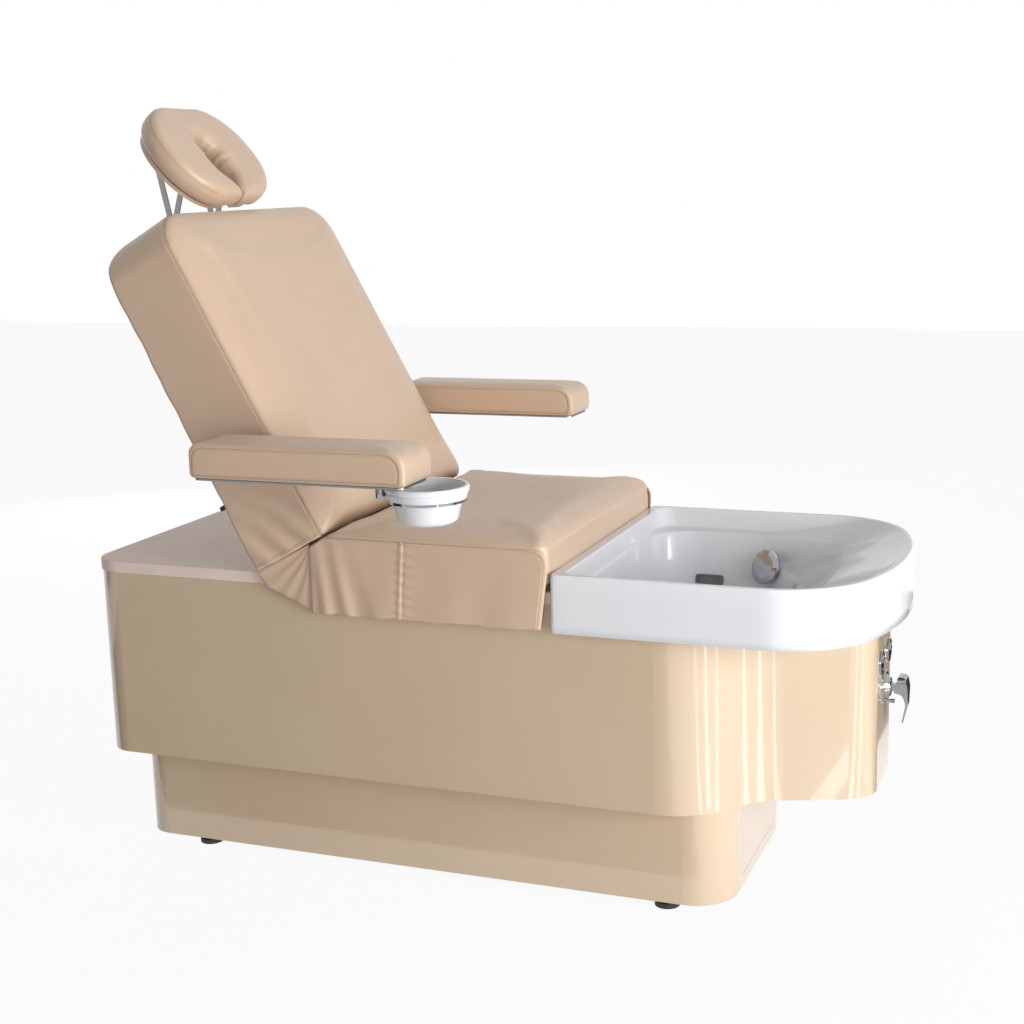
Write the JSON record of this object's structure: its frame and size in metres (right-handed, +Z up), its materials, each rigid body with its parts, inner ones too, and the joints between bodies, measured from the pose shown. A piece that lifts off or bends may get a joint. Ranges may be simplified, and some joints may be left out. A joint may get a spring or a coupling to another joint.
{
  "type": "pedicure and treatment bed",
  "caption": "Treatment bed with reclining backrest, face cradle, tilting armrests, swing-out hand bowl and a foot basin with mixer, on a lacquered cabinet.",
  "frame": {"origin": "on the floor under the middle of the length and width", "axes": "+X towards the foot basin, +Y to the side away from the bowl, +Z up"},
  "size_m": [1.99, 1.24, 1.8917],
  "materials": {
    "cream_lacquer": "gloss lacquer on board",
    "taupe_laminate": "matte laminate",
    "plywood": "bare birch plywood",
    "frame_steel": "dark powder coat",
    "foot_rubber": "black moulded",
    "white_acrylic": "gloss white moulding",
    "chrome": "polished",
    "brass": "turned",
    "grey_plastic": "moulded",
    "tan_leather": "soft grain with double stitching",
    "platform_board": "tan covered board",
    "brushed_steel": "brushed",
    "black_plastic": "moulded"
  },
  "bodies": {
    "base": {"plinth": "cream_lacquer", "access_panel": "cream_lacquer", "frame_rails": "frame_steel", "frame_posts": "frame_steel", "frame_crossbars": "frame_steel", "levelling_feet": "foot_rubber", "upper_cabinet": "cream_lacquer", "cabinet_floor": "plywood", "deck_board": "taupe_laminate", "basin": "white_acrylic", "basin_cradle": "plywood", "drain_flange": "chrome", "filler_body": "chrome", "suction_fitting": "chrome", "waste_trap": "grey_plastic", "mixer_valve": "brass", "mixer_escutcheon": "chrome", "supply_pipes": "brass", "button_bezels": "chrome", "button_cups": "grey_plastic", "seat_board": "plywood", "seat_cushion": "tan_leather", "seat_skirts": "tan_leather", "gusset_near": "tan_leather", "gusset_far": "tan_leather", "hinge_blocks": "frame_steel", "hinge_pins": "brushed_steel", "spring_cylinder": "brushed_steel", "spring_brackets": "frame_steel"},
    "backrest": {"backrest_board": "plywood", "backrest_frame": "frame_steel", "backrest_cushion": "tan_leather", "backrest_skirt": "tan_leather", "armrest_brackets": "frame_steel", "armrest_shafts": "chrome", "lever_bearing": "frame_steel", "headrest_guides": "frame_steel"},
    "armrest_near": {"armrest_pad_near": "tan_leather", "armrest_plate_near": "brushed_steel"},
    "armrest_far": {"armrest_pad_far": "tan_leather", "armrest_plate_far": "brushed_steel"},
    "bowl_arm": {"bowl_holder": "chrome", "bowl": "white_acrylic"},
    "gas_spring": {"spring_rod": "brushed_steel", "fork_pin": "brushed_steel"},
    "release": {"release_lever": "black_plastic"},
    "head_slide": {"headrest_rods": "brushed_steel"},
    "head_tilt": {"headrest_brackets": "brushed_steel", "headrest_platform": "platform_board", "headrest_pillow": "tan_leather"},
    "plug": {"drain_plug": "chrome"},
    "drain_control": {"filler_knob": "chrome"},
    "mixer_turning": {"mixer_stem": "chrome"},
    "mixer_handle": {"mixer_lever": "chrome"},
    "diverter": {"diverter_knob": "chrome"},
    "push_near": {"button_near": "chrome"},
    "push_far": {"button_far": "chrome"}
  },
  "joints": [
    {"name": "recline", "type": "hinge", "parent": "base", "child": "backrest", "pos_m": [-0.374, 0, 0.79], "axis": [0, -1, 0], "range_deg": [0, 61.5]},
    {"name": "spring_slide", "type": "slide", "parent": "base", "child": "gas_spring", "axis": [1, 0, 0], "range_m": [0, 0.1176]},
    {"name": "armrest_near_tilt", "type": "hinge", "parent": "backrest", "child": "armrest_near", "pos_m": [-0.4894, -0.462, 1.08009], "axis": [0, -1, 0], "range_deg": [-61.5, 118]},
    {"name": "armrest_far_tilt", "type": "hinge", "parent": "backrest", "child": "armrest_far", "pos_m": [-0.4894, 0.462, 1.08009], "axis": [0, -1, 0], "range_deg": [-61.5, 118]},
    {"name": "bowl_swing", "type": "hinge", "parent": "armrest_near", "child": "bowl_arm", "pos_m": [-0.096, -0.526, 1.02], "axis": [0, 0, 1], "range_deg": [-90, 10]},
    {"name": "release_pull", "type": "hinge", "parent": "backrest", "child": "release", "pos_m": [-0.47945, -0.395, 0.98422], "axis": [0, -1, 0], "range_deg": [0, 15], "stiffness_Nm_per_rad": 2, "springref_deg": -5.73},
    {"name": "headrest_reach", "type": "slide", "parent": "backrest", "child": "head_slide", "axis": [-0.4772, 0, 0.8788], "range_m": [0, 0.08]},
    {"name": "headrest_tilt", "type": "hinge", "parent": "head_slide", "child": "head_tilt", "pos_m": [-0.86646, 0, 1.57858], "axis": [0, -1, 0], "range_deg": [0, 40]},
    {"name": "drain_turn", "type": "hinge", "parent": "base", "child": "drain_control", "pos_m": [0.603, 0.3, 0.689], "axis": [-0.4698, -0.8138, 0.342], "range_deg": [0, 90]},
    {"name": "plug_lift", "type": "slide", "parent": "base", "child": "plug", "axis": [0, 0, 1], "range_m": [0, 0.008]},
    {"name": "mixer_turn", "type": "hinge", "parent": "base", "child": "mixer_turning", "pos_m": [0.937, 0, 0.497], "axis": [1, 0, 0], "range_deg": [-50, 50]},
    {"name": "mixer_lift", "type": "hinge", "parent": "mixer_turning", "child": "mixer_handle", "pos_m": [0.964, 0, 0.497], "axis": [0, -1, 0], "range_deg": [0, 20]},
    {"name": "diverter_pull", "type": "slide", "parent": "base", "child": "diverter", "axis": [1, 0, 0], "range_m": [0, 0.008]},
    {"name": "press_near", "type": "slide", "parent": "base", "child": "push_near", "axis": [-1, 0, 0], "range_m": [0, 0.004], "stiffness_N_per_m": 800, "springref_m": -0.002},
    {"name": "press_far", "type": "slide", "parent": "base", "child": "push_far", "axis": [-1, 0, 0], "range_m": [0, 0.004], "stiffness_N_per_m": 800, "springref_m": -0.002}
  ],
  "couplings": [
    {"joint": "spring_slide", "follows": "recline", "m_per_rad": 0.10956},
    {"joint": "plug_lift", "follows": "drain_turn", "m_per_rad": 0.005092}
  ]
}
